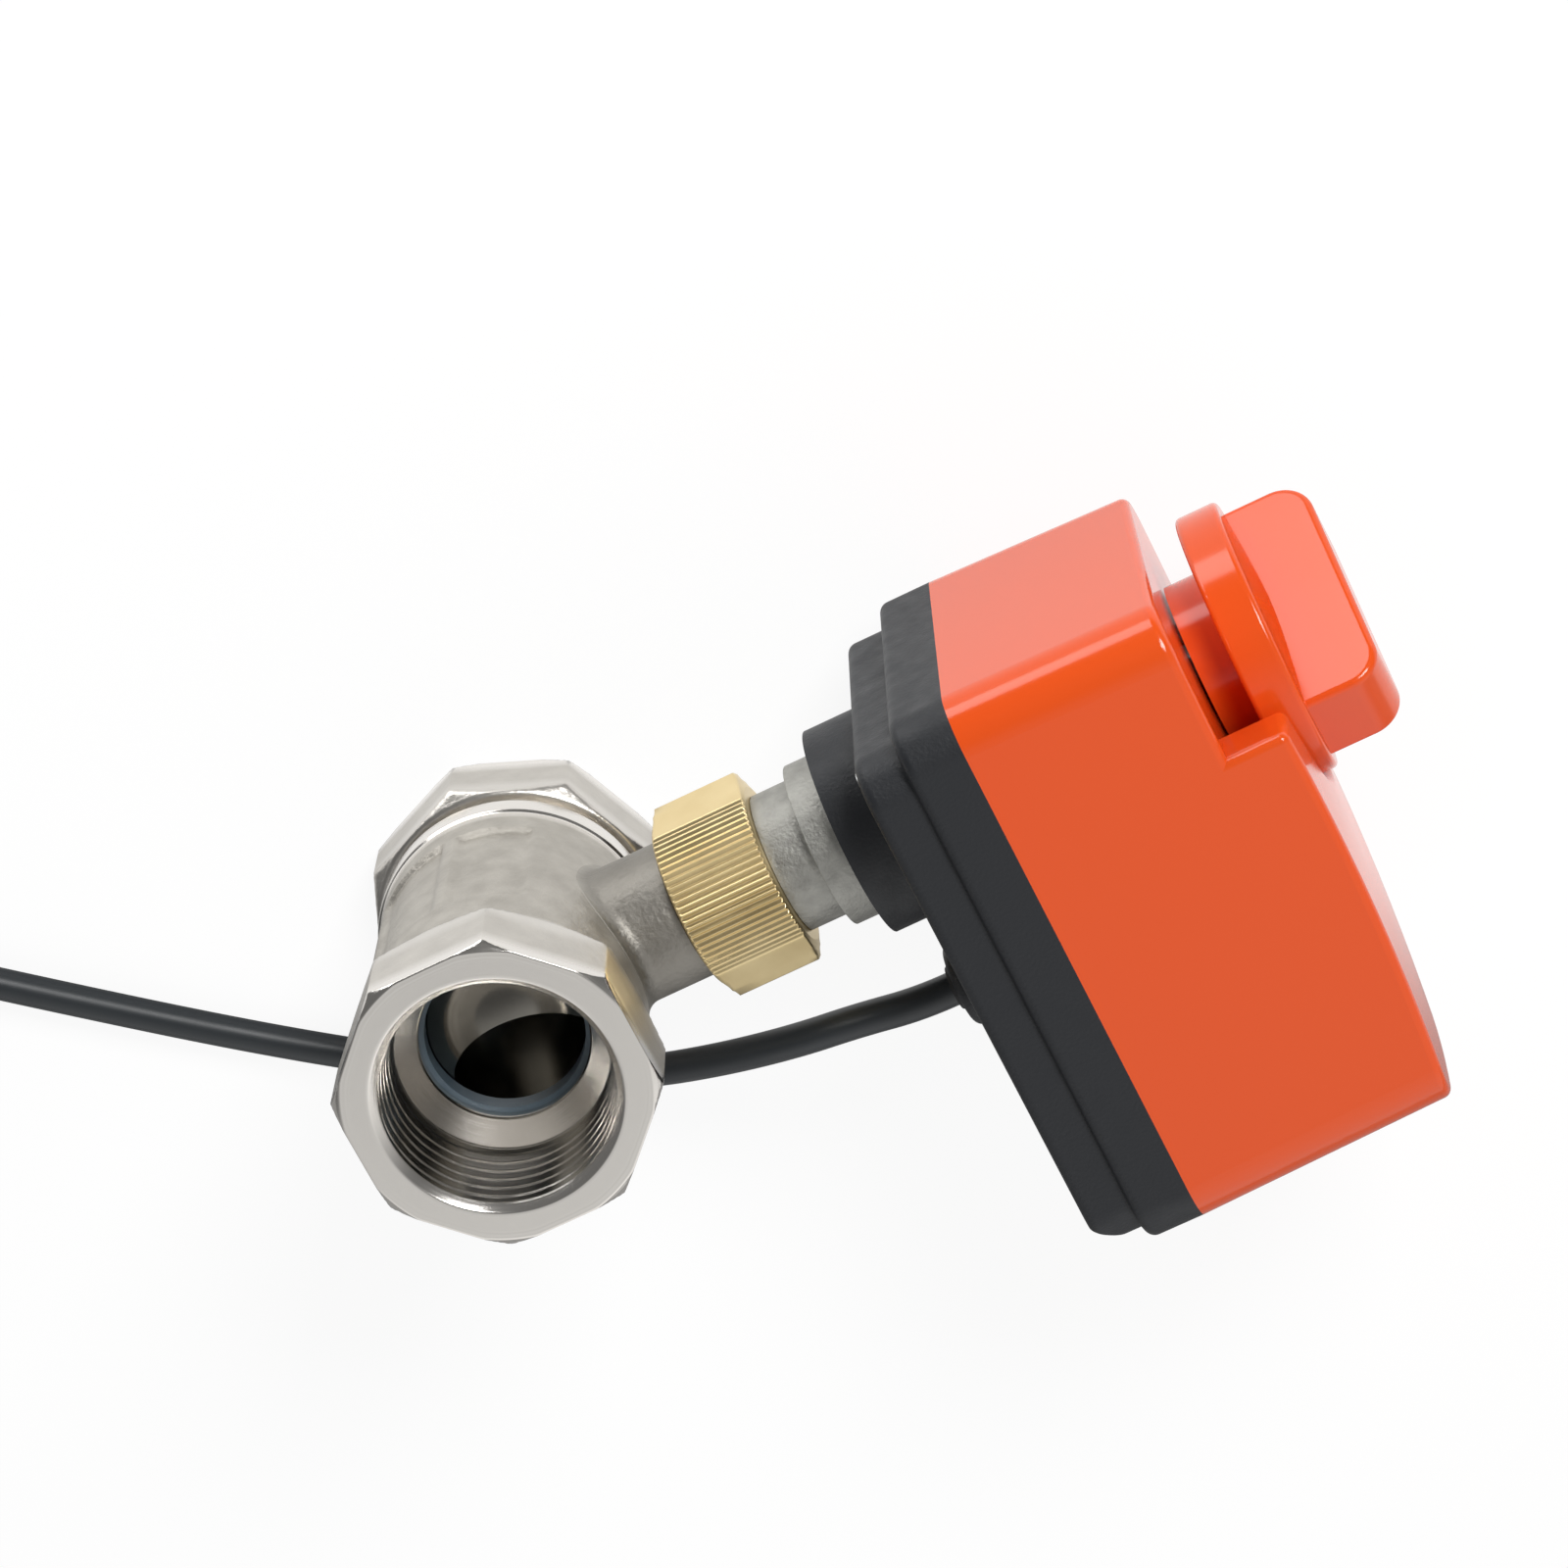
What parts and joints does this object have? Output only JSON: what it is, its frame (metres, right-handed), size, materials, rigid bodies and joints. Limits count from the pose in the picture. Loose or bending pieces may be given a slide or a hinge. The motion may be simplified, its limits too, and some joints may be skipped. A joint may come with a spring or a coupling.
{
  "type": "motorized ball valve",
  "caption": "Two-port brass ball valve with union-nut neck, geared electric actuator housing, manual override knob and a coiled power lead.",
  "frame": {"origin": "centre of the lower port's mouth, on the flow axis, in the plane that the valve stands on", "axes": "+Z along the flow axis from the lower port to the upper port; +X along the stem from the ball towards the housing and the knob; +Y towards the housing's short end"},
  "size_m": [0.301, 0.129, 0.075],
  "materials": {
    "nickel_brass": "nickel plated brass, fine turned",
    "bare_brass": "machined brass",
    "ball_chrome": "polished",
    "seat_polymer": "blue-grey seat polymer",
    "seal_rubber": "matt",
    "steel": "machined steel",
    "cast_zinc": "cast, slightly rough",
    "orange_plastic": "moulded, fine grain",
    "black_plastic": "moulded, fine grain",
    "white_plastic": "moulded acetal",
    "board_green": "coated circuit board",
    "terminal_green": "moulded",
    "motor_steel": "plated steel can",
    "cable_jacket": "soft vinyl jacket",
    "wire_brown": "vinyl insulation",
    "copper": "stranded copper"
  },
  "bodies": {
    "fixed": {"valve_body": "nickel_brass", "end_connector": "nickel_brass", "body_joint_seal": "seat_polymer", "upper_seat": "seat_polymer", "lower_seat": "seat_polymer", "stem_thrust_washer": "seat_polymer", "stem_packing": "seat_polymer", "packing_gland": "bare_brass", "locating_pins": "steel", "adapter": "cast_zinc", "nut_retaining_ring": "steel", "adapter_screws": "steel", "base": "black_plastic", "base_gasket": "seal_rubber", "cover": "orange_plastic", "cover_screws": "steel", "knob_seal_ring": "seal_rubber", "lower_bushing": "bare_brass", "upper_bushing": "bare_brass", "idler_pin": "steel", "drive_motor": "motor_steel", "motor_screws": "steel", "gear_plate": "steel", "plate_posts": "bare_brass", "plate_screws": "steel", "limit_switch_lower": "black_plastic", "limit_switch_upper": "black_plastic", "switch_screws": "steel", "circuit_board": "board_green", "board_screws": "steel", "terminal_block": "terminal_green", "capacitor": "terminal_green", "lead_gland": "seal_rubber", "lead_clamp": "black_plastic", "lead_inner_end": "cable_jacket", "inner_conductors": "wire_brown", "power_lead": "cable_jacket", "lead_coil": "cable_jacket", "lead_tie": "black_plastic", "lead_conductors": "wire_brown", "conductor_tips": "copper"},
    "drive_output": {"ball": "ball_chrome", "stem": "bare_brass", "stem_seal_rings": "seal_rubber", "output_shaft": "steel", "output_gear": "white_plastic", "cam_lower": "white_plastic", "cam_upper": "white_plastic", "knob": "orange_plastic", "knob_set_screw": "steel"},
    "idler": {"idler_gear": "white_plastic"},
    "pinion": {"motor_pinion": "steel"},
    "nut": {"union_nut": "bare_brass"},
    "lever_lower": {"switch_lever_lower": "steel"},
    "lever_upper": {"switch_lever_upper": "steel"}
  },
  "joints": [
    {"name": "valve_turn", "type": "hinge", "parent": "fixed", "child": "drive_output", "pos_m": [0, 0, 0.0375], "axis": [1, 0, 0], "range_deg": [-34, 56]},
    {"name": "idler_turn", "type": "hinge", "parent": "fixed", "child": "idler", "pos_m": [0.079, -0.02119, 0.04877], "axis": [1, 0, 0], "range_deg": [-78.4, 47.6]},
    {"name": "motor_turn", "type": "hinge", "parent": "fixed", "child": "pinion", "pos_m": [0.079, -0.03392, 0.0375], "axis": [1, 0, 0], "range_deg": [-68, 112]},
    {"name": "nut_turn", "type": "hinge", "parent": "fixed", "child": "nut", "pos_m": [0.036, 0, 0.0375], "axis": [1, 0, 0], "range_deg": [0, 120]},
    {"name": "lower_switch_press", "type": "hinge", "parent": "fixed", "child": "lever_lower", "pos_m": [0.0682, -0.0146, 0.0495], "axis": [1, 0, 0], "range_deg": [0, 4], "stiffness_Nm_per_rad": 0.001, "springref_deg": -11.46},
    {"name": "upper_switch_press", "type": "hinge", "parent": "fixed", "child": "lever_upper", "pos_m": [0.0726, -0.0146, 0.0255], "axis": [-1, 0, 0], "range_deg": [0, 4], "stiffness_Nm_per_rad": 0.001, "springref_deg": -11.46}
  ],
  "couplings": [
    {"joint": "idler_turn", "follows": "valve_turn", "ratio": -1.4},
    {"joint": "motor_turn", "follows": "valve_turn", "ratio": 2}
  ]
}
